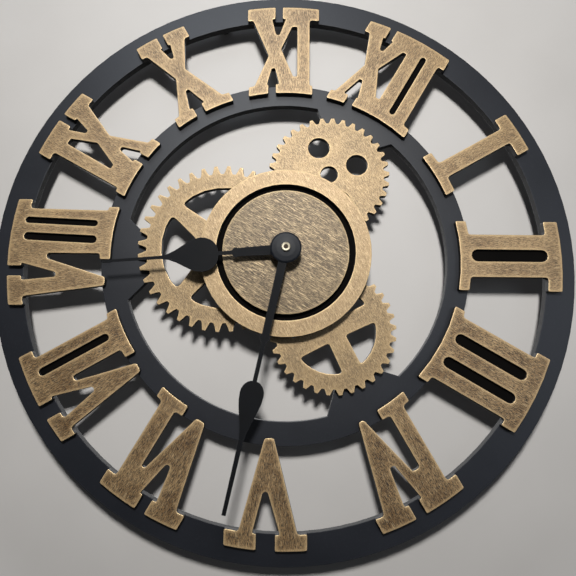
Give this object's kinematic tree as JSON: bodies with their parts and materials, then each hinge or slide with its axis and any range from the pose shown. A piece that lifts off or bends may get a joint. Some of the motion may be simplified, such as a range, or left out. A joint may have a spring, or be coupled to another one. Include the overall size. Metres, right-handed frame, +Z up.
{
  "type": "gear wall clock",
  "caption": "Skeleton wall clock: two black rings tied by gold Roman numerals, ornamental gears round a gold centre, spade hands and a battery movement.",
  "frame": {"origin": "the hang point: the centre of the hanging loop's hole, in the plane of the wall", "axes": "+Z up towards twelve o'clock, +X towards three o'clock, +Y into the wall; the dial faces -Y"},
  "size_m": [0.4, 0.0414, 0.4],
  "materials": {
    "charcoal_board": "matt charcoal paint on cut fibreboard",
    "gold_board": "brushed antique gold paint on cut fibreboard",
    "hand_black": "satin black enamel",
    "brass": "turned brass",
    "steel": "plated",
    "rubber": "matt",
    "case_plastic": "fine texture",
    "acetal": "smooth",
    "board_green": "solder mask",
    "cell": "plain printed sleeve"
  },
  "bodies": {
    "clock": {"outer_ring": "charcoal_board", "inner_ring": "charcoal_board", "backing_disc": "charcoal_board", "left_gear": "gold_board", "top_gear": "gold_board", "right_gear": "gold_board", "trim_ring": "gold_board", "centre_disc": "gold_board", "post_washer": "steel", "post_nut": "brass", "movement_case": "case_plastic", "movement_cover": "case_plastic", "threaded_post": "brass", "rubber_seal": "rubber", "drive_block": "acetal", "circuit_board": "board_green", "contact_plus": "steel", "contact_minus": "steel", "numeral_1": "gold_board", "numeral_2": "gold_board", "numeral_3": "gold_board", "numeral_4": "gold_board", "numeral_5": "gold_board", "numeral_6": "gold_board", "numeral_7": "gold_board", "numeral_8": "gold_board", "numeral_9": "gold_board", "numeral_10": "gold_board", "numeral_11": "gold_board", "numeral_12": "gold_board", "wall_pad_1": "rubber", "wall_pad_2": "rubber", "wall_pad_3": "rubber", "wall_pad_4": "rubber"},
    "minute_train": {"minute_hand": "hand_black", "hand_cap": "hand_black", "open_nut": "brass", "minute_arbor": "brass"},
    "hour_train": {"hour_hand": "hand_black", "hour_wheel": "acetal"},
    "motion_wheel": {"minute_wheel": "acetal"},
    "setting": {"set_knob": "acetal"},
    "seconds": {"seconds_arbor": "steel"},
    "cell": {"battery": "cell"}
  },
  "joints": [
    {"name": "minute_turn", "type": "hinge", "parent": "clock", "child": "minute_train", "pos_m": [0, -0.03, -0.036], "axis": [0, 1, 0], "continuous": true},
    {"name": "hour_turn", "type": "hinge", "parent": "clock", "child": "hour_train", "pos_m": [0, -0.03, -0.036], "axis": [0, 1, 0], "continuous": true},
    {"name": "motion_turn", "type": "hinge", "parent": "clock", "child": "motion_wheel", "pos_m": [0, -0.015, -0.026], "axis": [0, 1, 0], "continuous": true},
    {"name": "knob_turn", "type": "hinge", "parent": "clock", "child": "setting", "pos_m": [-0.01, -0.004, -0.026], "axis": [0, 1, 0], "continuous": true},
    {"name": "seconds_turn", "type": "hinge", "parent": "clock", "child": "seconds", "pos_m": [0, -0.03, -0.036], "axis": [0, 1, 0], "continuous": true},
    {"name": "cell_slide", "type": "slide", "parent": "clock", "child": "cell", "axis": [0, 1, 0], "range_m": [0, 0.02]}
  ],
  "couplings": [
    {"joint": "hour_turn", "follows": "minute_turn", "ratio": 0.083333},
    {"joint": "motion_turn", "follows": "minute_turn", "ratio": -0.33333},
    {"joint": "knob_turn", "follows": "minute_turn", "ratio": 1},
    {"joint": "seconds_turn", "follows": "minute_turn", "ratio": 60}
  ]
}
